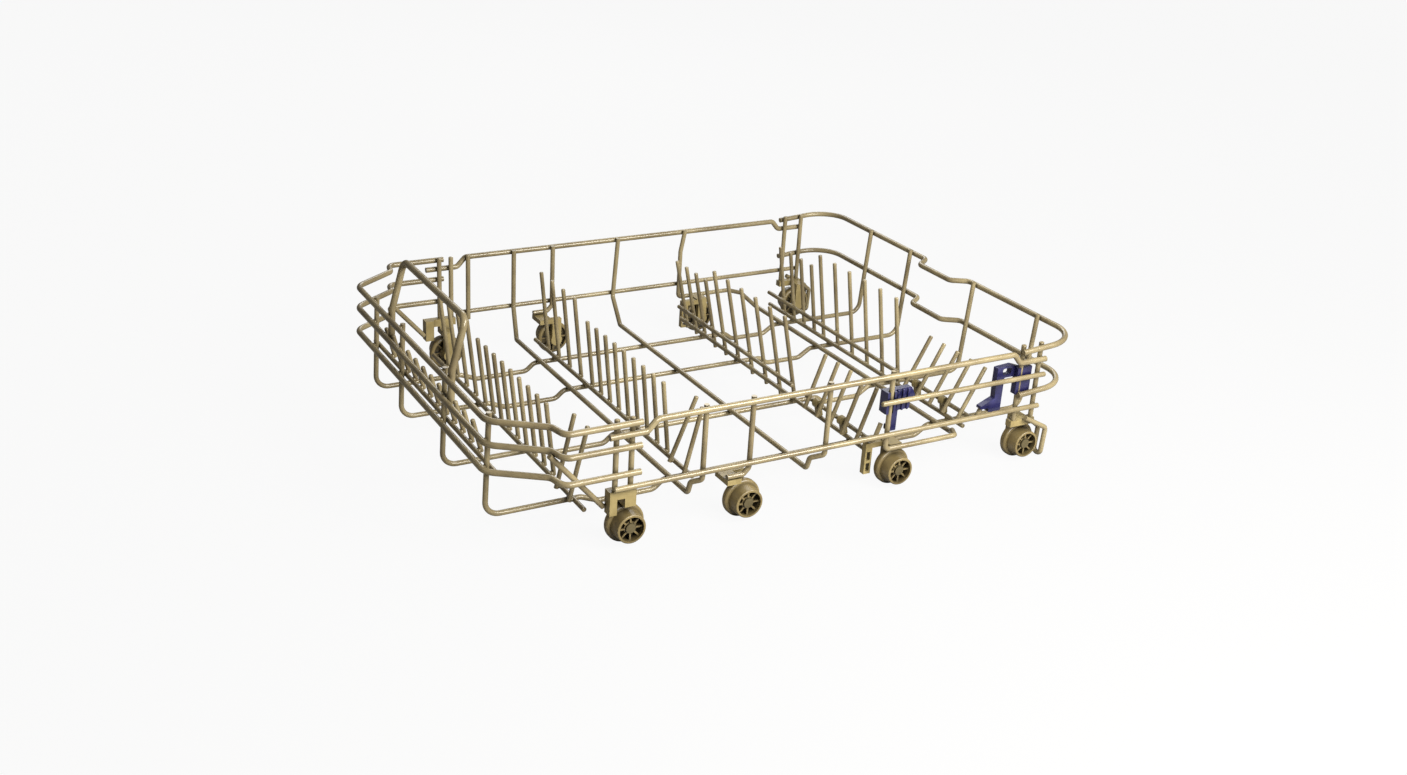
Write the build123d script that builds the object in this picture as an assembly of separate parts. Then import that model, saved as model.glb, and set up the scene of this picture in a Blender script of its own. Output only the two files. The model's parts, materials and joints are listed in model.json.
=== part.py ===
from build123d import *
import math
import os

os.makedirs("parts", exist_ok=True)

# Lower basket of a slim dishwasher: coated steel wire, plastic wheels, two folding tine racks.
# Millimetres. X runs across the basket, +Y to the back of the machine, Z up.
# Heights start at the floor. Saving moves the layout along Y, so that the origin is under the middle.

# Wire diameters, with the coating
rim_d = 4.8
frame_d = 4.2
bar_d = 3.8
tine_d = 3.6
handle_d = 5.6
weld_bite = 0.02

# Overall layout
half_gauge = 188.0
front_y = -252.4
front_slope = 0.0406
back_y = 257.2
rim_z = 100.4
low_front_z = 61.0
wheel_r = 15.5

# Clearances
pin_play = 0.06
free_gap = 0.4

# Sizes worked out from those above
side_x = half_gauge - (rim_d + frame_d) / 2 + weld_bite
rail_inner = (rim_d + frame_d) / 2 - weld_bite
frame_cross = frame_d - weld_bite
bar_cross = (frame_d + bar_d) / 2 - weld_bite
tine_cross = (bar_d + tine_d) / 2 - weld_bite
wheel_z = wheel_r


def front_face(z):
    """Y of the front rails' axes: the front leans out a little towards the bottom."""
    return front_y - (rim_z - z) * front_slope


mid_y = (front_face(low_front_z) + back_y) / 2


def wire(points, diameter, bend):
    """Round wire along straight runs joined by circular bends."""
    if len(points) == 2:
        path = Line(*points)
    else:
        path = FilletPolyline(*points, radius=bend)
    section = Plane(origin=path @ 0, z_dir=path % 0) * Circle(diameter / 2)
    return sweep(section, path=path).solid()


def save(name, *solids):
    """Write one node; several solids stay separate inside it."""
    shape = solids[0] if len(solids) == 1 else Compound(list(solids))
    shape = Pos(0, -mid_y, 0) * shape
    export_step(shape, os.path.join("parts", name + ".step"))


def far(points):
    """The same points on the other side of the basket."""
    return [(-x, y, z) for x, y, z in points]


# Side top rails, stepped down at both ends so that they pass under the front and back rims

rail_drop = 8.4
rail_front_step = (-147.5, -139.6)
rail_back_step = (188.0, 195.0)
rail_ends = (-177.0, 222.0)
rail_bend = 5.0


def side_rail_path():
    low = rim_z - rail_drop
    return [
        (half_gauge, rail_ends[0], low),
        (half_gauge, rail_front_step[0], low),
        (half_gauge, rail_front_step[1], rim_z),
        (half_gauge, rail_back_step[0], rim_z),
        (half_gauge, rail_back_step[1], low),
        (half_gauge, rail_ends[1], low),
    ]


save("side_rail_right", wire(side_rail_path(), rim_d, rail_bend))
save("side_rail_left", wire(far(side_rail_path()), rim_d, rail_bend))

# Three front rails, each with a jog and a slanted corner at both sides

front_rail_z = {"front_rail_top": rim_z, "front_rail_middle": 82.1, "front_rail_low": low_front_z}
jog_y = -211.1
slant_start = (half_gauge - 15.8, jog_y - 3.6)
slant_end_x = half_gauge - 42.1
rail_end_right = -151.4
rail_end_left = -160.7
jog_bend = 7.0
corner_bend = 14.0

for name, z in front_rail_z.items():
    outline = [
        (half_gauge, rail_end_right, z),
        (half_gauge, jog_y, z),
        (slant_start[0], slant_start[1], z),
        (slant_end_x, front_face(z), z),
        (-slant_end_x, front_face(z), z),
        (-slant_start[0], slant_start[1], z),
        (-half_gauge, jog_y, z),
        (-half_gauge, rail_end_left, z),
    ]
    bends = [jog_bend, jog_bend, corner_bend, corner_bend, jog_bend, jog_bend]
    save(name, wire(outline, rim_d, bends))

# Two back rims: arms that rise a little to the back, and an inward notch for the water pipe

back_posts = (200.6, 219.3)
rim_rise = math.tan(math.radians(4.2))
rim_corner = 30.0
notch_bend = 7.0
notch_depth = 13.4
back_rims = {
    "back_rim_upper": {"start": 197.0, "z": rim_z + 0.4, "back": back_y, "x": (40.3, 29.3, -16.2, -24.4)},
    "back_rim_lower": {"start": 198.0, "z": 62.7, "back": back_y - 2.7, "x": (38.7, 27.2, -17.5, -26.0)},
}


def rim_height(rim, y):
    return rim["z"] + (y - rim["start"]) * rim_rise


for name, rim in back_rims.items():
    near_outer, near_inner, far_inner, far_outer = rim["x"]
    plan = [
        (half_gauge, rim["start"]),
        (half_gauge, rim["back"]),
        (near_outer, rim["back"]),
        (near_inner, rim["back"] - notch_depth),
        (far_inner, rim["back"] - notch_depth),
        (far_outer, rim["back"]),
        (-half_gauge, rim["back"]),
        (-half_gauge, rim["start"]),
    ]
    outline = [(x, y, rim_height(rim, y)) for x, y in plan]
    bends = [rim_corner, notch_bend, notch_bend, notch_bend, notch_bend, rim_corner]
    save(name, wire(outline, rim_d, bends))

# Lower side rails, and the short rail above the right one that carries the catches

low_rail_z = 50.0
low_rail_z_left = 47.5
low_rail_end = 221.0
low_rail_start_right = -171.4
low_rail_start_left = -142.0
catch_rail_z = 78.0
catch_rail_ends = (59.5, 223.0)

low_right = [(half_gauge, low_rail_start_right, low_rail_z), (half_gauge, low_rail_end, low_rail_z)]
low_left = [(-half_gauge, low_rail_start_left, low_rail_z_left), (-half_gauge, low_rail_end, low_rail_z_left)]
catch_rail = [(half_gauge, y, catch_rail_z) for y in catch_rail_ends]
save("lower_rail_right", wire(low_right, frame_d, None))
save("lower_rail_left", wire(low_left, frame_d, None))
save("catch_rail", wire(catch_rail, frame_d, None))

# Corner posts inside the rails; the wheel holders hang under them

post_top = 102.8
front_block_top = 46.6
back_block_top = 38.0
front_posts_right = (-169.5, -157.0)
front_posts_left = (-166.0, -155.0)
tall_post_left = -138.6
tall_post_foot = 42.0
back_post_top = 105.0


def post(side, y, z0, z1):
    return wire([(side * side_x, y, z0), (side * side_x, y, z1)], frame_d, None)


save("front_posts_right", *[post(1, y, front_block_top, post_top) for y in front_posts_right])
left_posts = [post(-1, y, front_block_top, rim_z + rim_d / 2) for y in front_posts_left]
left_posts.append(post(-1, tall_post_left, tall_post_foot, post_top))
save("front_posts_left", *left_posts)
save("back_posts_right", *[post(1, y, back_block_top, back_post_top) for y in back_posts])
save("back_posts_left", *[post(-1, y, back_block_top, back_post_top) for y in back_posts])

# Long wires: from the front rails down, along the floor with two dips, and up to the back rims

long_wire_share = (-0.575, -0.2314, 0.2761, 0.7383)
long_wire_x = [share * half_gauge for share in long_wire_share]
front_lean = math.atan(front_slope)
front_floor_z = 21.5
dip_z = 15.6
floor_z = 22.3
back_dip_z = 16.4
back_floor_z = 24.0
front_dip = (-175.0, -160.0, -113.5, -105.5)
rear_cross_y = 151.0
back_dip = (rear_cross_y - 59.0, rear_cross_y - 51.0, rear_cross_y - 16.0, rear_cross_y - 4.0)
floor_bend = 11.0
dip_bend = 8.0
upright_top = 103.4
back_upright_top = 109.0


def behind_front(offset, z):
    """Y at a height on a line that leans like the front, its axis an offset behind the front rails' axes."""
    return front_face(z) + offset / math.cos(front_lean)


rim_u = back_rims["back_rim_upper"]
rim_l = back_rims["back_rim_lower"]
upper_point = (rim_u["back"], rim_height(rim_u, rim_u["back"]))
lower_point = (rim_l["back"], rim_height(rim_l, rim_l["back"]))
lean_run = upper_point[0] - lower_point[0]
lean_rise = upper_point[1] - lower_point[1]
lean_length = math.hypot(lean_run, lean_rise)
lean_shift_y = -rail_inner * lean_rise / lean_length
lean_shift_z = rail_inner * lean_run / lean_length


def back_upright_y(z):
    """Y of the leaning upright's axis, tangent to both back rims on their inner side."""
    return lower_point[0] + lean_shift_y + (z - lower_point[1] - lean_shift_z) * lean_run / lean_rise


for i, x in enumerate(long_wire_x):
    profile = [
        (behind_front(rail_inner, upright_top), upright_top),
        (behind_front(rail_inner, front_floor_z), front_floor_z),
        (front_dip[0], front_floor_z),
        (front_dip[1], dip_z),
        (front_dip[2], dip_z),
        (front_dip[3], floor_z),
        (back_dip[0], floor_z),
        (back_dip[1], back_dip_z),
        (back_dip[2], back_dip_z),
        (back_dip[3], back_floor_z),
        (back_upright_y(back_floor_z), back_floor_z),
        (back_upright_y(back_upright_top), back_upright_top),
    ]
    bends = [floor_bend] + [dip_bend] * 8 + [floor_bend]
    save("long_wire_" + str(i + 1), wire([(x, y, z) for y, z in profile], frame_d, bends))

# Cross wires: side uprights joined by a run across the floor, on top of the long wires

cross_z = floor_z + frame_cross
back_cross_z = back_floor_z + frame_cross
cross_bend = 3.6
knee_top = 41.5
knee_foot = 37.0
knee_in = (7.5, 11.0)
left_knee_in = 28.5
cross_wires = {
    "cross_wire_front": {"floor": -102.5, "right": -97.0, "left_top": -94.0, "left": -94.0, "knee": 48.0},
    "cross_wire_middle": {"floor": 3.5, "right": 11.7, "left_top": 12.6, "left": 9.0, "knee": 45.0},
}

for name, c in cross_wires.items():
    y = c["floor"]
    points = [
        (side_x, c["right"], post_top),
        (side_x, c["right"], knee_top),
        (side_x - knee_in[0], y, knee_foot),
        (side_x - knee_in[1], y, cross_z),
        (-side_x + left_knee_in, y, cross_z),
        (-side_x, c["left"], c["knee"]),
        (-side_x, c["left_top"], post_top),
    ]
    save(name, wire(points, frame_d, cross_bend))

rear_run_z = 35.0
rear_upright_right = 70.0
rear_upright_left = (81.3, 85.2)
rear_kink_z = 82.0
rear_run_end = rear_cross_y - 11.0
rear_turn_in = (11.5, 18.5, 33.5)
rear_turn_y = rear_cross_y - 4.5

rear_points = [
    (side_x, rear_upright_right, post_top),
    (side_x, rear_upright_right, rear_run_z),
    (side_x, rear_run_end, rear_run_z),
    (side_x - rear_turn_in[0], rear_turn_y, rear_run_z - 1.5),
    (side_x - rear_turn_in[1], rear_cross_y, back_cross_z),
    (-side_x + rear_turn_in[2], rear_cross_y, back_cross_z),
    (-side_x + rear_turn_in[0], rear_turn_y, rear_run_z),
    (-side_x, rear_run_end - 2.0, rear_run_z),
    (-side_x, rear_upright_left[0], rear_run_z),
    (-side_x, rear_upright_left[0], rear_kink_z),
    (-side_x, rear_upright_left[1], post_top),
]
save("cross_wire_rear", wire(rear_points, frame_d, cross_bend))

# Side hooks: uprights that turn forward over the second wheels

hook_z = 39.0
hook_y = {1: -56.8, -1: -55.0}
hook_step = 5.0
hook_tail = 19.0

for side, word in ((1, "right"), (-1, "left")):
    y = hook_y[side]
    points = [
        (side * side_x, y, post_top),
        (side * side_x, y, hook_z + hook_step),
        (side * side_x, y - hook_step, hook_z),
        (side * side_x, y - hook_tail, hook_z),
    ]
    save("side_hook_" + word, wire(points, frame_d, cross_bend))

# Corner braces: from a front rail's jog, slanting down to the first wheels' holders

brace_x = half_gauge - 10.0
brace_slope = math.radians(48.5)
jog_share = (half_gauge - brace_x) / (half_gauge - slant_start[0])
brace_touch_y = jog_y + (slant_start[1] - jog_y) * jog_share
brace_top = 3.0
front_block_y = {1: front_posts_right[0] - 4.5, -1: front_posts_left[0] - 15.5}


def corner_brace(side, rail_z, over):
    """Wire against the jog of a front rail, over or under it, ending on the front of the holder."""
    line_y = brace_touch_y + over * rail_inner * math.sin(brace_slope)
    line_z = rail_z + over * rail_inner * math.cos(brace_slope)
    foot_y = front_block_y[side] - frame_d / 2 * math.sin(brace_slope)
    points = []
    for run in (-brace_top, (foot_y - line_y) / math.cos(brace_slope)):
        y = line_y + run * math.cos(brace_slope)
        z = line_z - run * math.sin(brace_slope)
        points.append((side * brace_x, y, z))
    return wire(points, frame_d, None)


right_brace = corner_brace(1, front_rail_z["front_rail_middle"], -1)
left_brace = corner_brace(-1, low_front_z, 1)
save("corner_braces", right_brace, left_brace)

# Handle: a bent bow of thick wire inside the two upper front rails

handle_offset = (rim_d + handle_d) / 2 - weld_bite
handle_x = (-72.0, 64.0)
handle_foot = 79.0
handle_knee = 105.0
handle_top = 145.5
handle_top_y = -236.0
handle_bend = 8.0

handle_points = []
for x, order in ((handle_x[0], 1), (handle_x[1], -1)):
    leg = [(x, behind_front(handle_offset, z), z) for z in (handle_foot, handle_knee)]
    leg.append((x, handle_top_y, handle_top))
    handle_points += leg[::order]
save("handle", wire(handle_points, handle_d, handle_bend))

# Tines

tip_round = 1.0
bar_ends = (-0.798 * half_gauge, 0.851 * half_gauge)


def tine(x, y, z, lean, length, side, foot=bar_d / 2):
    """Straight tine with a round tip, against one side of a bar along X; lean in degrees to the back."""
    a = math.radians(lean)
    along = (math.sin(a), math.cos(a))
    off = (side * tine_cross * math.cos(a), -side * tine_cross * math.sin(a))
    p0 = (x, y + off[0] - foot * along[0], z + off[1] - foot * along[1])
    p1 = (x, y + off[0] + length * along[0], z + off[1] + length * along[1])
    rod = wire([p0, p1], tine_d, None)
    tip = rod.edges().filter_by(GeomType.CIRCLE).sort_by(Axis.Z)[-1]
    return rod.fillet(tip_round, [tip])


def bar(x0, x1, y, z):
    return wire([(x0, y, z), (x1, y, z)], bar_d, None)


row_pitch = 0.0915 * half_gauge
row_start = -0.1862 * half_gauge
row_x = [row_start + row_pitch * i for i in range(9)]
slant_x = (0.6516 * half_gauge, 0.7739 * half_gauge)

# Front comb: short tines on a bar behind the lowest front rail

comb_z = 59.0
comb_y = behind_front(rail_inner + bar_cross, comb_z)
comb_pitch = 0.0931 * half_gauge
comb_start = 0.5787 * half_gauge
comb_x = [comb_start - comb_pitch * i for i in range(12)]
save("comb_bar", bar(-0.649 * half_gauge, 0.7766 * half_gauge, comb_y, comb_z))
save("comb_tines", *[tine(x, comb_y, comb_z, -14.5, 26.0, 1) for x in comb_x])

# Row A, the first plate row

row_a_y = -184.3
row_a_z = front_floor_z + bar_cross
save("row_a_bar", bar(bar_ends[0], 0.8777 * half_gauge, row_a_y, row_a_z))
row_a = [tine(x, row_a_y, row_a_z, -7.0, 60.0, 1) for x in row_x]
tall_a_pitch = 0.1138 * half_gauge
row_a += [tine(row_start - tall_a_pitch * (i + 1), row_a_y, row_a_z, -7.0, 69.0, 1) for i in range(4)]
row_a += [tine(x + 1.8, row_a_y, row_a_z, 13.0, 58.7, -1) for x in slant_x]
save("row_a_tines", *row_a)

# Row B, the second plate row

row_b_y = -86.0
row_b_z = floor_z + bar_cross
save("row_b_bar", bar(bar_ends[0], -bar_ends[0], row_b_y, row_b_z))
row_b = [tine(x, row_b_y, row_b_z, -6.5, 60.5, 1) for x in row_x]
tall_b_pitch = 0.1245 * half_gauge
row_b += [tine(row_start - tall_b_pitch * (i + 1), row_b_y, row_b_z, -6.5, 73.5, 1) for i in range(4)]
row_b += [tine(x - 2.0, row_b_y, row_b_z, lean, 54.8, -1) for x, lean in zip(slant_x, (21.9, 13.4))]
save("row_b_tines", *row_b)

# Rows C and D: fixed tines on two stacked bars at the left, a folding rack at the right
# The rack's axle is in line with the upper bar; fixed tines that meet a long wire end on the lower bar

stack_rise = 12.6
short_pitch = 0.0968 * half_gauge
tall_pitch = 0.1277 * half_gauge
row_c = {
    "y": 66.8,
    "z": floor_z + bar_cross,
    "lean": -12.6,
    "foot": 9.0,
    "lengths": (62.0, 77.5),
    "short": -0.7739 * half_gauge,
    "tall": -0.375 * half_gauge,
    "rack_lean": 19.6,
    "rack_length": 40.8,
    "rack_foot": 9.0,
    "rack_first": 0.4548 * half_gauge,
    "crank": 16.5,
}
row_d = {
    "y": rear_cross_y + 17.0,
    "z": back_floor_z + bar_cross,
    "lean": -8.8,
    "foot": bar_d / 2,
    "lengths": (67.5, 82.5),
    "short": -0.6835 * half_gauge,
    "tall": -0.3059 * half_gauge,
    "rack_lean": 28.1,
    "rack_length": 42.6,
    "rack_foot": 8.5,
    "rack_first": 0.4633 * half_gauge,
    "crank": 11.3,
}
rows_cd = {"c": row_c, "d": row_d}
stack_overhang = 5.0
rack_pitch = 0.0984 * half_gauge
rack_overhang = 8.0
crank_x = half_gauge - 13.0
crank_bend = 4.0
bearing_width = 6.0
bearing_r = 4.0

bearings = []
for letter, row in rows_cd.items():
    y, z = row["y"], row["z"]
    short_x = [row["short"] + short_pitch * i for i in range(4)]
    tall_x = [row["tall"] + tall_pitch * i for i in range(6)]
    row["axle_y"] = y + stack_rise * math.tan(math.radians(row["lean"]))
    row["axle_z"] = z + stack_rise
    axle_y, axle_z = row["axle_y"], row["axle_z"]
    upper_bar = bar(bar_ends[0], tall_x[-1] + stack_overhang, axle_y, axle_z)
    save("row_" + letter + "_bars", bar(*bar_ends, y, z), upper_bar)
    fixed = []
    for x_list, length in zip((short_x, tall_x), row["lengths"]):
        for x in x_list:
            clear = min(abs(x - wire_x) for wire_x in long_wire_x) > (frame_d + tine_d) / 2
            fixed.append(tine(x, y, z, row["lean"], length, 1, row["foot"] if clear else bar_d / 2))
    save("row_" + letter + "_tines", *fixed)

    a = math.radians(row["rack_lean"])
    row["crank_tip"] = (axle_y + row["crank"] * math.sin(a), axle_z + row["crank"] * math.cos(a))
    rack_x = [row["rack_first"] + rack_pitch * i for i in range(5)]
    axle_x = (rack_x[0] - rack_overhang, crank_x)
    axle = [(x, axle_y, axle_z) for x in axle_x]
    axle.append((crank_x, *row["crank_tip"]))
    save("rack_" + letter + "_axle", wire(axle, bar_d, crank_bend))
    stance = (row["rack_lean"], row["rack_length"], -1, row["rack_foot"])
    save("rack_" + letter + "_tines", *[tine(x, axle_y, axle_z, *stance) for x in rack_x])
    for x in (rack_x[0] + rack_pitch / 2, rack_x[2] + rack_pitch / 2):
        on_axle = Plane(origin=(x, axle_y, axle_z), z_dir=(1, 0, 0))
        ring = on_axle * Cylinder(bearing_r, bearing_width)
        leg_foot = bar_d / 2 - weld_bite
        leg_top = math.hypot(axle_y - y, axle_z - z) - bearing_r / 2
        leg = Pos(0, 0, (leg_top + leg_foot) / 2) * Box(bearing_width, bar_d, leg_top - leg_foot)
        leg = Pos(x, y, z) * Rot(-row["lean"], 0, 0) * leg
        bore = on_axle * Cylinder(bar_d / 2 + pin_play, 2 * bearing_width)
        bearings.append((ring + leg - bore).solid())
save("rack_bearings", *bearings)

# Catches: plastic clips on the right uprights, with an arm down to the crank of each folding rack

catch_inner = half_gauge - 12.2
catch_outer = side_x - frame_d / 2
catch_edge = 0.9
jaw_reach = half_gauge - frame_d / 2 - free_gap
jaw_wall = 2.4
post_hole_r = frame_d / 2 + 0.02
foot_low = 4.8


def catch_plate(outline):
    """Flat shape in the catch's thickness, from corners given as (Y, Z), with rounded corners."""
    face = make_face(Polyline(*[(catch_inner, y, z) for y, z in outline], close=True))
    plate = extrude(face, amount=catch_outer - catch_inner, dir=(1, 0, 0))
    return fillet(plate.edges().filter_by(Axis.X), catch_edge)


def box_between(x0, x1, y0, y1, z0, z1):
    return Pos((x0 + x1) / 2, (y0 + y1) / 2, (z0 + z1) / 2) * Box(x1 - x0, y1 - y0, z1 - z0)


def behind_crank(row):
    """Y of a foot just behind the crank's tip."""
    return row["crank_tip"][0] + bar_d / 2 / math.cos(math.radians(row["rack_lean"])) + free_gap


# The first catch is a plate behind its upright, with a jaw on each side of it and a wedge at the back

catch_c_top = catch_rail_z + 7.2
catch_c_low = catch_rail_z - 13.0
post_c = rear_upright_right
foot_c = behind_crank(rows_cd["c"])
foot_c_top = rows_cd["c"]["crank_tip"][1]
arm_c = (foot_c + 2.4, foot_c + 7.8)
catch_c = catch_plate([
    (post_c - 2.8, catch_c_low),
    (arm_c[0], catch_c_low),
    (arm_c[0], foot_c_top),
    (foot_c, foot_c_top),
    (foot_c, foot_c_top - foot_low),
    (arm_c[1], foot_c_top - foot_low),
    (arm_c[1], catch_rail_z - 11.0),
    (post_c + 21.0, catch_rail_z - 11.0),
    (post_c + 21.0, catch_rail_z - 5.0),
    (post_c + 27.4, catch_rail_z - 4.2),
    (post_c + 21.4, catch_c_top),
    (post_c - 2.8, catch_c_top),
])
for side in (-1, 1):
    jaw_y = sorted((post_c + side * post_hole_r, post_c + side * (post_hole_r + jaw_wall)))
    catch_c += box_between(catch_inner, jaw_reach, *jaw_y, catch_c_low + 2.0, catch_c_top)
save("catch_c", catch_c.solid())

# The second is a sleeve round its post, with a finger loop in front and a foot over the crank

post_d = back_posts[0]
rail_d = catch_rail_z
foot_d = behind_crank(rows_cd["d"])
foot_d_low = rows_cd["d"]["crank_tip"][1] - 1.8
over_crank_z = rows_cd["d"]["axle_z"] + math.hypot(rows_cd["d"]["crank"], bar_d / 2) + free_gap
arm_d = (post_d - 21.6, post_d - 14.2)
loop_z = (rail_d - 0.3, rail_d + 10.0)
sleeve_y = (post_d - 4.0, post_d + 11.0)
finger_y = post_d - 12.2
catch_d = catch_plate([
    (foot_d - 8.5, over_crank_z),
    (foot_d, over_crank_z),
    (foot_d, foot_d_low),
    (arm_d[1], foot_d_low),
    (arm_d[1], loop_z[0]),
    (sleeve_y[1], loop_z[0]),
    (sleeve_y[1], loop_z[0] + 4.0),
    (sleeve_y[0], loop_z[1] - 1.0),
    (sleeve_y[0] - 3.0, loop_z[1]),
    (arm_d[0] - 0.6, loop_z[1] - 1.0),
    (arm_d[0] - 0.6, loop_z[0] - 7.0),
    (arm_d[0], over_crank_z + 8.0),
    (foot_d - 8.5, over_crank_z + 2.4),
])
finger_hole = Box(4 * (catch_outer - catch_inner), 8.8, 6.0)
finger_hole = fillet(finger_hole.edges().filter_by(Axis.X), 2 * catch_edge)
catch_d -= Pos(catch_outer, finger_y, (loop_z[0] + loop_z[1]) / 2) * finger_hole
sleeve = box_between(side_x - 4.4, jaw_reach, *sleeve_y, rail_d - 15.4, rail_d + 8.0)
catch_d += fillet(sleeve.edges().filter_by(Axis.Z), catch_edge)
catch_d -= Pos(side_x, post_d, rail_d) * Cylinder(post_hole_r, back_post_top)
save("catch_d", catch_d.solid())

# Wheels: a wide flange with a ribbed recess inside, a narrower drum outside with a spoked recess

wheel_y = {
    1: (front_posts_right[1] - 0.2, hook_y[1] - 0.6, rear_upright_right + 13.5, back_posts[1] - 5.1),
    -1: (front_posts_left[0] + 3.0, hook_y[-1] - 2.0, rear_upright_left[0] + 18.7, back_posts[1] - 5.1),
}
wheel_inner = half_gauge - 15.0
flange_width = 6.5
drum_width = 10.1
flange_round = 2.0
inner_recess = (6.8, 12.6)
inner_depth = 4.0
drum_r = (12.5, 11.6)
drum_round = 0.8
recess_r = 9.8
recess_depth = 8.0
hub_r = 5.0
hub_recess = 3.4
spoke_count = 8
spoke_width = 1.4
spoke_drop = 2.6
axle_r = 3.0
wheel_outer = wheel_inner + flange_width + drum_width
hub_end = wheel_outer - hub_recess


def ring_of_ribs(x0, x1, r0, r1):
    """Radial ribs across a recess, let into its walls a little."""
    length = r1 - r0 + 1.0
    rib = Pos((x0 + x1) / 2, (r0 + r1) / 2, 0) * Box(x1 - x0, length, spoke_width)
    return [Rot(360.0 * i / spoke_count, 0, 0) * rib for i in range(spoke_count)]


def wheel_blank():
    """Wheel about the X axis, at its right-hand distance from the middle."""
    flange_outer = wheel_inner + flange_width
    floor_x = wheel_outer - recess_depth
    bore_r = axle_r + pin_play
    profile = [
        (wheel_inner, bore_r),
        (wheel_inner, inner_recess[0]),
        (wheel_inner + inner_depth, inner_recess[0]),
        (wheel_inner + inner_depth, inner_recess[1]),
        (wheel_inner, inner_recess[1]),
        (wheel_inner, wheel_r),
        (flange_outer, wheel_r),
        (flange_outer, drum_r[0]),
        (wheel_outer, drum_r[1]),
        (wheel_outer, recess_r),
        (floor_x, recess_r),
        (floor_x, hub_r),
        (hub_end, hub_r),
        (hub_end, bore_r),
    ]
    face = make_face(Polyline(*[(x, r, 0) for x, r in profile], close=True))
    face = fillet(face.vertices().group_by(Axis.Y)[-1], flange_round)
    drum_corner = face.vertices().filter_by_position(Axis.Y, drum_r[1] - 0.01, drum_r[1] + 0.01)
    face = fillet(drum_corner, drum_round)
    body = revolve(face, axis=Axis.X)
    body += ring_of_ribs(floor_x, wheel_outer - spoke_drop, hub_r, recess_r)
    body += ring_of_ribs(wheel_inner + spoke_drop / 2, wheel_inner + inner_depth, *inner_recess)
    return body.solid()


# Wheel holders: an arm behind the wheel with the axle pin, a bridge over the wheel, a clip on the wires

plate_x = (wheel_inner - 6.6, wheel_inner - 1.6)
plate_r = 5.5
arm_half = 4.5
boss_r = 5.5
head_r = 3.9
head_x = (hub_end + free_gap, hub_end + 1.8)
bridge_z = (2 * wheel_r + 1.5, 2 * wheel_r + 6.5)
clip_inner = side_x - 4.5
post_clip_x = side_x + frame_d / 2
run_clip_x = side_x - frame_d / 2


def rod(x0, x1, y, r):
    return Plane(origin=((x0 + x1) / 2, y, wheel_z), z_dir=(1, 0, 0)) * Cylinder(r, x1 - x0)


def holder(y, bridge_y, clip_y, clip_z, clip_x):
    """One holder: arm, boss, pin and head at the wheel, then the bridge, a riser and the clip."""
    top = min(bridge_z[1], clip_z[1])
    solid = rod(*plate_x, y, plate_r)
    solid += box_between(*plate_x, y - arm_half, y + arm_half, wheel_z, top)
    solid += rod(plate_x[1], wheel_inner - free_gap, y, boss_r)
    solid += rod(plate_x[0], head_x[1], y, axle_r)
    solid += rod(*head_x, y, head_r)
    reach = (min(bridge_y[0], y - arm_half), max(bridge_y[1], y + arm_half))
    solid += box_between(*plate_x, *reach, bridge_z[0], top)
    solid += box_between(plate_x[0], clip_x, *bridge_y, bridge_z[0], top)
    solid += box_between(clip_inner, clip_x, *bridge_y, bridge_z[0], clip_z[1])
    solid += box_between(clip_inner, clip_x, *clip_y, *clip_z)
    return solid


def front_holder(y, posts, face_y):
    """The first holder: a clip under the posts, and a wing in front that the brace ends on."""
    clip_y = (face_y, posts[1] + 2.6)
    clip_z = (front_block_top - 6.6, front_block_top)
    wing_y = (face_y, y - 0.7 * wheel_r)
    wing = box_between(brace_x - 1.0, post_clip_x, *wing_y, front_block_top - 19.0, front_block_top)
    return holder(y, (y - arm_half, y + arm_half), clip_y, clip_z, post_clip_x) + wing


def hook_holder(y, tail_y):
    """The second holder: a clip under the tail of the side hook."""
    clip_y = (tail_y - hook_tail, tail_y - 7.0)
    return holder(y, clip_y, clip_y, (bridge_z[0], hook_z - frame_d / 2), post_clip_x)


def run_holder(y):
    """The third holder: a clip on the run beside the wheel, and a leg in front with two windows."""
    clip_y = (y - 7.0, y + arm_half)
    solid = holder(y, clip_y, clip_y, (bridge_z[0], rear_run_z + 2.0), run_clip_x)
    leg_y = (y - 23.0, y - 16.5)
    leg_top = rear_run_z + 1.0
    leg = box_between(*plate_x, *leg_y, 9.0, leg_top)
    for z0, z1 in ((11.5, 18.5), (21.0, 28.5)):
        leg -= box_between(plate_x[0] - 1, plate_x[1] + 1, leg_y[0] + 1.6, leg_y[1] - 1.6, z0, z1)
    return solid + leg + box_between(*plate_x, leg_y[0], y, bridge_z[0] - 1.0, leg_top)


def post_holder(y):
    """The last holder: a clip under both back posts."""
    clip_y = (back_posts[0] - 3.6, back_posts[1] + 2.7)
    return holder(y, (y - arm_half, y + arm_half), clip_y, (bridge_z[0], back_block_top), post_clip_x)


blank = wheel_blank()
front_posts = {1: front_posts_right, -1: front_posts_left}
for side, word in ((1, "right"), (-1, "left")):
    y1, y2, y3, y4 = wheel_y[side]
    carriers = [
        front_holder(y1, front_posts[side], front_block_y[side]),
        hook_holder(y2, hook_y[side]),
        run_holder(y3),
        post_holder(y4),
    ]
    for i, y in enumerate(wheel_y[side]):
        wheel = Pos(0, y, wheel_z) * blank
        carrier = carriers[i].solid()
        if side < 0:
            wheel = mirror(wheel, about=Plane.YZ)
            carrier = mirror(carrier, about=Plane.YZ)
        save("wheel_" + word + "_" + str(i + 1), wheel)
        save("holder_" + word + "_" + str(i + 1), carrier)

# Rear guards: hairpins hanging from the back posts, close behind the last wheels

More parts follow.
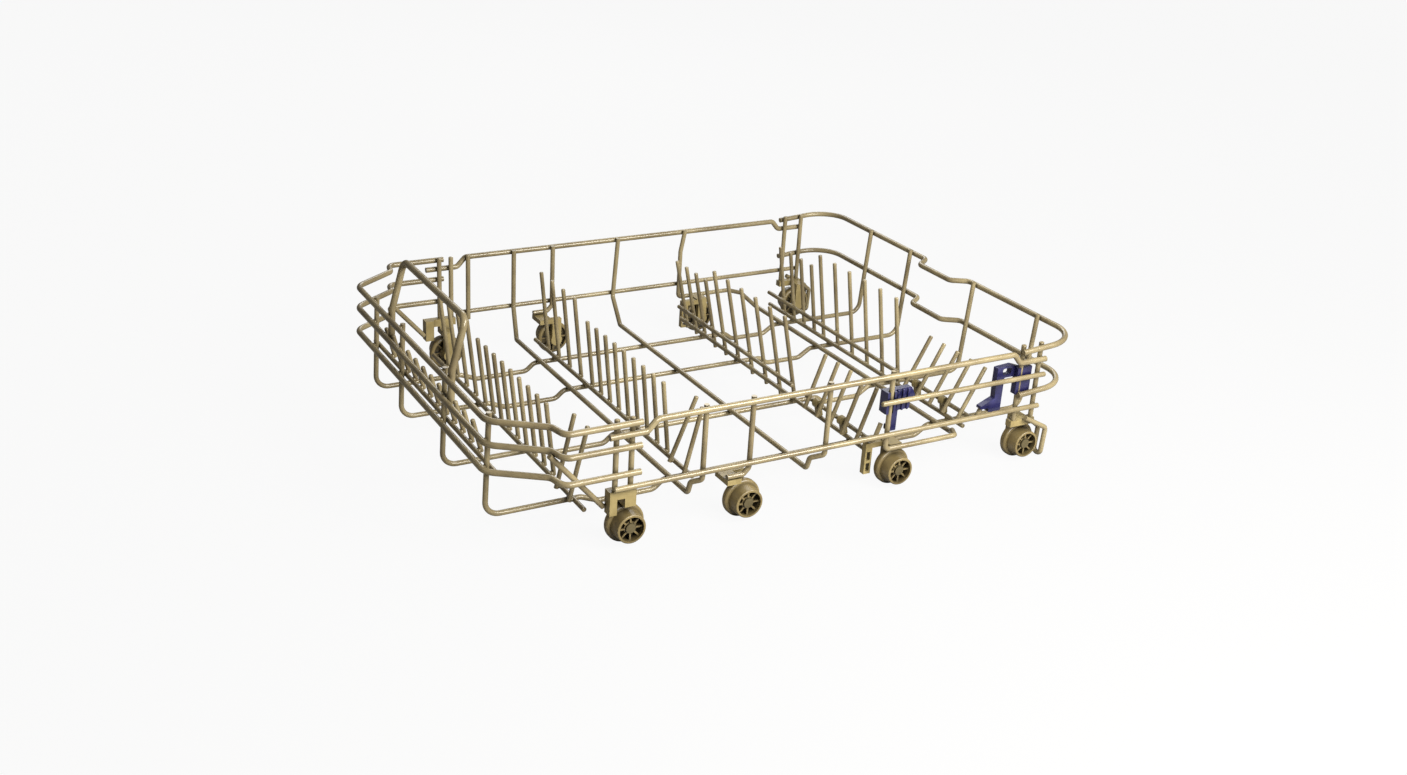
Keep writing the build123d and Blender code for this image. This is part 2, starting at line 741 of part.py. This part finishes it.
guard_x = (side_x + frame_cross, side_x + frame_cross - 8.2)
guard_bend = 3.8
guard_low = frame_d / 2 + 0.5
guard = [
    (guard_x[0], 210.0, 40.0),
    (guard_x[0], 234.5, 27.0),
    (guard_x[0], 233.0, guard_low),
    (guard_x[1], 233.0, guard_low),
    (guard_x[1], 234.0, 25.0),
    (guard_x[1], 224.5, 32.5),
]
save("rear_guard_right", wire(guard, frame_d, guard_bend))
save("rear_guard_left", wire(far(guard), frame_d, guard_bend))
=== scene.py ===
# %% [markdown]
# # A dishwasher basket in its coat of nylon
# The wires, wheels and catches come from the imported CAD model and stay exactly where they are.
# This file gives them what CAD leaves out: the coat that gathers at every weld and rounds every cut end,
# the ribs of a catch, the moulded plastics, the light and the camera. Everything is in metres, in the CAD
# model's own frame.

# %% Load the frame
import json
import math

import bpy
import numpy as np
from mathutils import Matrix, Vector


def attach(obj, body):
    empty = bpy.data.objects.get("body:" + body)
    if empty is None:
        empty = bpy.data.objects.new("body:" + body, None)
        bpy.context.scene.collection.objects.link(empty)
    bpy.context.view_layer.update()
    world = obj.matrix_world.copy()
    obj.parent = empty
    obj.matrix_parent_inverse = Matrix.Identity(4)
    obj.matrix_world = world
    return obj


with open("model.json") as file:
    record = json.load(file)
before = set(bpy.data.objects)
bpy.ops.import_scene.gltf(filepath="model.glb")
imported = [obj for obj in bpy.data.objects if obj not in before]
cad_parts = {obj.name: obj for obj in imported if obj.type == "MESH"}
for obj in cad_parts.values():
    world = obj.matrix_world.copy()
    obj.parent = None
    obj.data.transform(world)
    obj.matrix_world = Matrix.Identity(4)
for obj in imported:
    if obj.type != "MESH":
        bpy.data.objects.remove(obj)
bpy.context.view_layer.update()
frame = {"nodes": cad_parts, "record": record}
nodes = frame["nodes"]
mm = 0.001

# %% [markdown]
# ## The camera
# The photograph was taken from the front right, a little above the rim. Azimuth, elevation and roll were
# found by matching the rails' corners, so the camera is built from those three angles and the lens.

# %% Camera
image_width = 1407
focal_px = 1513.18
azimuth = math.radians(59.29)
elevation = math.radians(23.493)
roll = math.radians(3.61)
place = Vector((1.0428, -0.6129, 0.5511))

camera_data = bpy.data.cameras.new("camera")
camera_data.sensor_width = 36.0
camera_data.lens = focal_px / image_width * camera_data.sensor_width
camera = bpy.data.objects.new("camera", camera_data)
scene = bpy.context.scene
scene.collection.objects.link(camera)
scene.camera = camera

level = math.cos(elevation)
back = Vector((math.sin(azimuth) * level, -math.cos(azimuth) * level, math.sin(elevation)))
level_right = Vector((math.cos(azimuth), math.sin(azimuth), 0.0))
level_up = back.cross(level_right)
right = math.cos(roll) * level_right + math.sin(roll) * level_up
up = math.cos(roll) * level_up - math.sin(roll) * level_right
camera.matrix_world = Matrix.Translation(place) @ Matrix((right, up, back)).transposed().to_4x4()
print("lens:", round(camera_data.lens, 2), "mm")

# %% [markdown]
# ## Small helpers
# One function adds a shader node, and one turns a hex colour into linear light.


# %% Helpers for nodes and colours
def add_node(tree, kind, links=(), **settings):
    """Add a node, set its properties or inputs by name, and link (output socket, input name) pairs to it."""
    node = tree.nodes.new(kind)
    for name, value in settings.items():
        if hasattr(node, name):
            setattr(node, name, value)
        else:
            node.inputs[name.replace("_", " ")].default_value = value
    for source, name in links:
        tree.links.new(source, node.inputs[name])
    return node


def linear(text):
    """sRGB hex to linear RGBA: c/12.92 below 0.04045, else ((c + 0.055)/1.055) to the power 2.4."""
    srgb = np.array([int(text[i:i + 2], 16) for i in (1, 3, 5)]) / 255.0
    low = srgb / 12.92
    high = ((srgb + 0.055) / 1.055) ** 2.4
    return (*np.where(srgb <= 0.04045, low, high), 1.0)


# %% [markdown]
# ## Light and floor
# Two lamps on the basket's right give the highlights, and weak ones in front and at the left fill the rest.
# The room is brighter overhead than near the ground, so that wires keep a dark underside. The camera sees
# the room plain white, and the floor mostly white with a little of its own shading: a soft shadow.

# %% Room and lamps
scene.view_settings.view_transform = "Standard"
world = bpy.data.worlds.new("white_room")
scene.world = world
world.use_nodes = True
sky = world.node_tree
sky.nodes["Background"].inputs["Color"].default_value = linear("#FFFDF8")
aloft = add_node(sky, "ShaderNodeTexCoord")
height = add_node(sky, "ShaderNodeSeparateXYZ", [(aloft.outputs["Generated"], "Vector")])
ground_light, overhead_light = 0.06, 0.42
dome = add_node(sky, "ShaderNodeMapRange", [(height.outputs["Z"], "Value")], From_Min=-0.2)
dome.inputs["To Min"].default_value = ground_light
dome.inputs["To Max"].default_value = overhead_light
room = sky.nodes["Background"]
sky.links.new(dome.outputs["Result"], room.inputs["Strength"])
backdrop = add_node(sky, "ShaderNodeBackground", Color=linear("#F9F9F8"))
seen = add_node(sky, "ShaderNodeLightPath")
sides = [(seen.outputs["Is Camera Ray"], 0), (room.outputs[0], 1), (backdrop.outputs[0], 2)]
split_sky = add_node(sky, "ShaderNodeMixShader", sides)
sky.links.new(split_sky.outputs[0], sky.nodes["World Output"].inputs["Surface"])


def area_lamp(name, position, target, size, watts):
    """A round lamp that faces its target."""
    data = bpy.data.lights.new(name, "AREA")
    data.shape = "DISK"
    data.size = size
    data.energy = watts
    lamp = bpy.data.objects.new(name, data)
    scene.collection.objects.link(lamp)
    aim = Vector(target) - Vector(position)
    lamp.matrix_world = Matrix.Translation(position) @ aim.to_track_quat("-Z", "Y").to_matrix().to_4x4()


middle = (0.0, 0.0, 0.05)
area_lamp("right_lamp", (0.75, 0.42, 0.66), middle, 0.5, 16.5)
area_lamp("side_lamp", (0.85, -0.05, 0.45), middle, 0.4, 9.0)
area_lamp("front_lamp", (-0.3, -1.8, 1.2), middle, 1.2, 2.0)
area_lamp("left_lamp", (-1.3, 0.7, 1.0), middle, 1.0, 10.0)

# %% Floor
half_floor = 6.0
corners = [(half_floor * x, half_floor * y, 0.0) for x, y in ((-1, -1), (1, -1), (1, 1), (-1, 1))]
floor_mesh = bpy.data.meshes.new("floor")
floor_mesh.from_pydata(corners, [], [(0, 1, 2, 3)])
floor = bpy.data.objects.new("floor", floor_mesh)
scene.collection.objects.link(floor)

pale = bpy.data.materials.new("matt_white_paper")
pale.use_nodes = True
tree = pale.node_tree
shaded = tree.nodes["Principled BSDF"]
shaded.inputs["Base Color"].default_value = linear("#8A8884")
shaded.inputs["Roughness"].default_value = 0.9
glow = add_node(tree, "ShaderNodeEmission", Color=linear("#FFFFFF"), Strength=1.0)
rays = add_node(tree, "ShaderNodeLightPath")
white_share = 0.93
share = add_node(tree, "ShaderNodeMath", [(rays.outputs["Is Camera Ray"], 0)], operation="MULTIPLY")
share.inputs[1].default_value = white_share
layers = [(share.outputs[0], 0), (shaded.outputs[0], 1), (glow.outputs[0], 2)]
mixed = add_node(tree, "ShaderNodeMixShader", layers)
tree.links.new(mixed.outputs[0], tree.nodes["Material Output"].inputs["Surface"])
floor_mesh.materials.append(pale)
print("floor and lamps set")

# %% [markdown]
# ## Nylon dip coating
# The wires are steel rod, welded and then dipped hot in nylon powder. The coat melts to a smooth skin with
# a slight orange peel, a little thicker and darker in some stretches than in others. The corners where
# wires meet are darkened with painted shade.


# %% Coated wire
def coated_wire():
    """Melted nylon powder: khaki mottled at 35 mm, orange peel at 1.6 mm, satin, with painted shade in the
    corners.
    """
    material = bpy.data.materials.new("nylon_coated_wire")
    material.use_nodes = True
    tree = material.node_tree
    skin = tree.nodes["Principled BSDF"]
    skin.inputs["IOR"].default_value = 1.53
    skin.inputs["Specular Tint"].default_value = linear("#FFF9EA")
    place = add_node(tree, "ShaderNodeTexCoord")
    here = [(place.outputs["Object"], "Vector")]
    mottle = add_node(tree, "ShaderNodeTexNoise", here, Scale=1 / (35 * mm), Detail=3.0)
    tone = add_node(tree, "ShaderNodeValToRGB", [(mottle.outputs["Fac"], "Fac")])
    tone.color_ramp.elements[0].position = 0.35
    tone.color_ramp.elements[0].color = linear("#675B42")
    tone.color_ramp.elements[1].position = 0.65
    tone.color_ramp.elements[1].color = linear("#857859")
    # Painted shade: an ambient occlusion node darkens the colour in the corners where wires meet.
    painted_corner_shade = add_node(tree, "ShaderNodeAmbientOcclusion", [(tone.outputs["Color"], "Color")], Distance=5 * mm)
    tree.links.new(painted_corner_shade.outputs["Color"], skin.inputs["Base Color"])
    gloss = add_node(tree, "ShaderNodeMapRange", [(mottle.outputs["Fac"], "Value")], To_Min=0.20, To_Max=0.30)
    tree.links.new(gloss.outputs["Result"], skin.inputs["Roughness"])
    peel = add_node(tree, "ShaderNodeTexNoise", here, Scale=1 / (1.6 * mm), Detail=2.0)
    relief = [(peel.outputs["Fac"], "Height")]
    bump = add_node(tree, "ShaderNodeBump", relief, Strength=0.12, Distance=0.2 * mm)
    tree.links.new(bump.outputs["Normal"], skin.inputs["Normal"])
    return material


# %% Moulded plastics
def moulded(name, dark, light, roughness, grain_mm, painted_shade_reach_mm, painted_shade_beyond_mm=None):
    """Injection-moulded plastic: sparked grain, a faint flow mottle at 12 mm, and painted shade darkening the
    recesses.

    Where |x| is beyond the given distance, at the heads of the axle pins, painted shade takes the colour down
    to 0.3.
    """
    material = bpy.data.materials.new(name)
    material.use_nodes = True
    tree = material.node_tree
    skin = tree.nodes["Principled BSDF"]
    skin.inputs["IOR"].default_value = 1.49
    place = add_node(tree, "ShaderNodeTexCoord")
    here = [(place.outputs["Object"], "Vector")]
    flow = add_node(tree, "ShaderNodeTexNoise", here, Scale=1 / (12 * mm), Detail=4.0)
    tone = add_node(tree, "ShaderNodeValToRGB", [(flow.outputs["Fac"], "Fac")])
    tone.color_ramp.elements[0].position = 0.3
    tone.color_ramp.elements[0].color = linear(dark)
    tone.color_ramp.elements[1].position = 0.7
    tone.color_ramp.elements[1].color = linear(light)
    tint = [(tone.outputs["Color"], "Color")]
    # Painted shade: an ambient occlusion node darkens the colour in recesses, within the given reach in mm.
    painted_recess_shade = add_node(tree, "ShaderNodeAmbientOcclusion", tint, Distance=painted_shade_reach_mm * mm)
    colour = painted_recess_shade.outputs["Color"]
    # Painted shade: beyond the given |x|, at the axle pin heads in the hub, the colour is darkened to 0.3 to
    # stand in for the hub's shaded recess.
    if painted_shade_beyond_mm:
        side = add_node(tree, "ShaderNodeSeparateXYZ", here)
        far = add_node(tree, "ShaderNodeMath", [(side.outputs["X"], 0)], operation="ABSOLUTE")
        reach = {"From_Min": (painted_shade_beyond_mm - 0.2) * mm, "From_Max": painted_shade_beyond_mm * mm}
        reach.update({"To_Min": 1.0, "To_Max": 0.3})
        painted_pin_shade = add_node(tree, "ShaderNodeMapRange", [(far.outputs[0], "Value")], **reach)
        both = [(colour, 0), (painted_pin_shade.outputs["Result"], 1)]
        colour = add_node(tree, "ShaderNodeVectorMath", both, operation="MULTIPLY").outputs[0]
    tree.links.new(colour, skin.inputs["Base Color"])
    spread = {"To_Min": roughness - 0.06, "To_Max": roughness + 0.06}
    gloss = add_node(tree, "ShaderNodeMapRange", [(flow.outputs["Fac"], "Value")], **spread)
    tree.links.new(gloss.outputs["Result"], skin.inputs["Roughness"])
    grain = add_node(tree, "ShaderNodeTexNoise", here, Scale=1 / (grain_mm * mm), Detail=2.0)
    relief = [(grain.outputs["Fac"], "Height")]
    bump = add_node(tree, "ShaderNodeBump", relief, Strength=0.15, Distance=0.1 * mm)
    tree.links.new(bump.outputs["Normal"], skin.inputs["Normal"])
    return material


# %% Dress every node by its slot
# In each moulded finish, the number after the grain size is the reach of its painted recess shade in mm, and
# the holder's last number is where its painted pin-head shade begins.
finishes = {
    "coated_wire": coated_wire(),
    "wheel_plastic": moulded("moulded_acetal_wheel", "#5E5031", "#7A6A44", 0.38, 0.9, 14.0),
    "holder_plastic": moulded("moulded_polypropylene_holder", "#76673F", "#8D7D52", 0.45, 0.9, 6.0, 186.3),
    "catch_plastic": moulded("moulded_blue_catch", "#191838", "#2A2952", 0.22, 0.8, 9.0),
}
slot_of = {subpart["node"]: subpart["material_slot"] for subpart in frame["record"]["subparts"]}
for name, node in nodes.items():
    node.data.materials.clear()
    node.data.materials.append(finishes[slot_of[name]])
print({slot: sum(s == slot for s in slot_of.values()) for slot in finishes})

# %% [markdown]
# ## Where the wires meet
# The welds are found from the CAD nodes themselves. A row's tines stand apart along X, so a gap in the
# sorted X values separates one tine from the next, and a straight line through a tine's points in Y and Z
# gives its axis. The weld is the point of the bar that is nearest to that axis.


# %% Read the nodes
def points(name):
    """The corners of a CAD node's mesh at rest, in metres, as an (n, 3) array."""
    mesh = nodes[name].data
    flat = np.empty(3 * len(mesh.vertices))
    mesh.vertices.foreach_get("co", flat)
    turn = np.array(nodes[name].matrix_world)
    return flat.reshape(-1, 3) @ turn[:3, :3].T + turn[:3, 3]


def split(cloud, axis, gap_mm):
    """Cut a cloud of points wherever the sorted values along an axis leave a gap."""
    order = cloud[np.argsort(cloud[:, axis])]
    cuts = np.where(np.diff(order[:, axis]) > gap_mm * mm)[0] + 1
    return np.split(order, cuts)


def centre(cloud):
    """The middle of a cloud's box."""
    return (cloud.min(axis=0) + cloud.max(axis=0)) / 2


def tine_welds(tines, bar):
    """Contact points of every tine in a node with a bar along X, given as its cloud of points."""
    bar_middle = centre(bar)[1:]
    bar_radius = np.ptp(bar[:, 2]) / 2
    welds = []
    for tine in split(points(tines), 0, 1.0):
        slope, start = np.polyfit(tine[:, 2], tine[:, 1], 1)
        along = np.array([slope, 1.0]) / math.hypot(slope, 1.0)
        foot = np.array([start, 0.0])
        nearest = foot + ((bar_middle - foot) @ along) * along
        towards = (nearest - bar_middle) / np.linalg.norm(nearest - bar_middle)
        welds.append((centre(tine)[0], *(bar_middle + bar_radius * towards)))
    return np.array(welds)


# %% List the welds
bars = {name: [points(name)] for name in ("comb_bar", "row_a_bar", "row_b_bar")}
for name in ("row_c_bars", "row_d_bars"):
    bars[name] = split(points(name), 2, 2.0)
rows = {"comb_tines": "comb_bar", "row_a_tines": "row_a_bar", "row_b_tines": "row_b_bar"}
rows.update({"row_c_tines": "row_c_bars", "row_d_tines": "row_d_bars"})
basket_welds = [tine_welds(tines, bar) for tines, name in rows.items() for bar in bars[name]]

long_x = np.array([centre(points("long_wire_" + str(i)))[0] for i in range(1, 5)])
for name in list(bars)[1:]:
    low = bars[name][0]
    basket_welds.append(np.array([(x, centre(low)[1], low[:, 2].min()) for x in long_x]))
for name in ("front_rail_top", "front_rail_middle", "front_rail_low"):
    rail = points(name)
    inner = rail[:, 1].min() + np.ptp(rail[:, 2])
    basket_welds.append(np.array([(x, inner, centre(rail)[2]) for x in long_x]))
axle_height = 3.9 * mm
rack_welds = {}
for letter in "cd":
    axle = points("rack_" + letter + "_axle")
    straight = axle[axle[:, 2] < axle[:, 2].min() + axle_height]
    rack_welds[letter] = tine_welds("rack_" + letter + "_tines", straight)
basket_welds = np.concatenate(basket_welds)
print("welds on the basket:", len(basket_welds), "on each rack:", [len(w) for w in rack_welds.values()])

# %% [markdown]
# ## The coat at welds and ends
# Molten nylon is drawn into the corner between two crossing wires, so every weld carries a small bead, and
# surface tension pulls it into a low dome on every cut end. Both are the same surface: rings that shrink
# from the wire's radius to a point.


# %% Rounded drops as one grid surface
def grid_faces(count, rings, around):
    """Quads of count grids, each of so many rings with so many points round the ring."""
    cell = np.arange(rings * around).reshape(rings, around)
    beside = np.roll(cell, -1, axis=1)
    quads = np.stack([cell[:-1], beside[:-1], beside[1:], cell[1:]], axis=-1).reshape(-1, 4)
    starts = np.arange(count) * rings * around
    return (quads[None] + starts[:, None, None]).reshape(-1, 4)


def drops(centres, axes, radius, height, lowest):
    """Ellipsoids of revolution, all in one pair of arrays.

    With u from lowest to pi/2 and v round the axis a, a point is
    centre + radius cos(u) (cos(v) e1 + sin(v) e2) + height sin(u) a, where e1 and e2 stand across a.
    """
    rings, around = 9, 20
    u = np.linspace(lowest, math.pi / 2, rings)[:, None]
    v = np.linspace(0.0, 2 * math.pi, around, endpoint=False)[None, :]
    a = axes / np.linalg.norm(axes, axis=1, keepdims=True)
    helper = np.where(np.abs(a[:, 2:3]) < 0.9, [[0.0, 0.0, 1.0]], [[1.0, 0.0, 0.0]])
    e1 = np.cross(a, helper)
    e1 /= np.linalg.norm(e1, axis=1, keepdims=True)
    e2 = np.cross(a, e1)
    across = (np.cos(u) * np.cos(v))[None, ..., None] * e1[:, None, None]
    across = across + (np.cos(u) * np.sin(v))[None, ..., None] * e2[:, None, None]
    rise = (np.sin(u) * np.ones_like(v))[None, ..., None] * a[:, None, None]
    surface = centres[:, None, None] + radius * across + height * rise
    return surface.reshape(-1, 3), grid_faces(len(centres), rings, around)


def add_piece(name, surface, body, slot="coated_wire"):
    """A smooth mesh piece that moves with a body and wears a slot's finish."""
    vertices, faces = surface
    mesh = bpy.data.meshes.new(name)
    mesh.from_pydata(vertices.tolist(), [], faces.tolist())
    mesh.polygons.foreach_set("use_smooth", np.ones(len(mesh.polygons), dtype=bool))
    mesh.materials.append(finishes[slot])
    piece = bpy.data.objects.new(name, mesh)
    scene.collection.objects.link(piece)
    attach(piece, body)
    print(name, "faces:", len(faces))


# %% Beads at the welds
bead_radius = 1.9 * mm
bead_reach = 2.3 * mm


def beads(welds):
    """Whole drops at the welds, a little longer along X than across it."""
    along_x = np.tile([1.0, 0.0, 0.0], (len(welds), 1))
    return drops(welds, along_x, bead_radius, bead_reach, -math.pi / 2)


add_piece("weld_beads", beads(basket_welds), "basket")
for letter, welds in rack_welds.items():
    add_piece("rack_" + letter + "_weld_beads", beads(welds), "rack_" + letter)

# %% Domes on the cut ends
dome_share = 0.45
ring_depth = 0.3 * mm


def cut_end(cloud, direction):
    """The dome on a wire's last ring of points along a direction, lower than the wire's radius."""
    direction = np.array(direction)
    reach = cloud @ direction
    ring = cloud[reach > reach.max() - ring_depth]
    radius = np.ptp(ring, axis=0).max() / 2
    return drops(centre(ring)[None], direction[None], radius, dome_share * radius, 0.0)


surfaces = []
for side in (-1.0, 1.0):
    for name in bars:
        surfaces += [cut_end(bar, (side, 0.0, 0.0)) for bar in bars[name]]
    for name in ("lower_rail_right", "lower_rail_left", "catch_rail"):
        surfaces.append(cut_end(points(name), (0.0, side, 0.0)))
for name in ("front_posts_right", "front_posts_left", "back_posts_right", "back_posts_left"):
    surfaces += [cut_end(post, (0.0, 0.0, 1.0)) for post in split(points(name), 1, 1.0)]
counts = np.cumsum([0] + [len(vertices) for vertices, faces in surfaces])
all_vertices = np.concatenate([vertices for vertices, faces in surfaces])
all_faces = np.concatenate([faces + start for (vertices, faces), start in zip(surfaces, counts)])
add_piece("coated_ends", (all_vertices, all_faces), "basket")

# %% [markdown]
# ## Ribs on the first catch
# This catch is a plate behind its upright, stiffened by three upright ribs on the outer face. Each rib is a
# block with rounded edges, from one formula.


# %% Ribs
def squared(value):
    """A sine or cosine raised to the power 0.3 with its sign kept, which makes a round form squarer."""
    return np.sign(value) * np.abs(value) ** 0.3


def rounded_blocks(centres, half_sizes):
    """Superellipsoids, nearly boxes: centre + half size * (C(u) C(v), C(u) S(v), S(u)).

    C and S are the squared cos and sin, u runs from -pi/2 to pi/2 and v once round.
    """
    rings, around = 13, 32
    u = np.linspace(-math.pi / 2, math.pi / 2, rings)[:, None]
    v = np.linspace(0.0, 2 * math.pi, around, endpoint=False)[None, :]
    level = squared(np.cos(u) + 1e-9)
    unit_x = level * squared(np.cos(v))
    unit_y = level * squared(np.sin(v))
    unit_z = squared(np.sin(u)) + 0 * v
    unit = np.stack([unit_x, unit_y, unit_z], axis=-1)
    surface = centres[:, None, None] + half_sizes[:, None, None] * unit
    return surface.reshape(-1, 3), grid_faces(len(centres), rings, around)


plate_face = 181.4 * mm
rib_half = np.array([1.3, 1.0, 9.2]) * mm
catch = points("catch_c")
rib_y = catch[:, 1].max() + np.array([-18.6, -13.6, -8.6]) * mm
rib_z = catch[:, 2].max() - 1.02 * rib_half[2]
rib_centres = np.stack([np.full(3, plate_face), rib_y, np.full(3, rib_z)], axis=1)
add_piece("catch_c_ribs", rounded_blocks(rib_centres, np.tile(rib_half, (3, 1))), "basket", "catch_plastic")
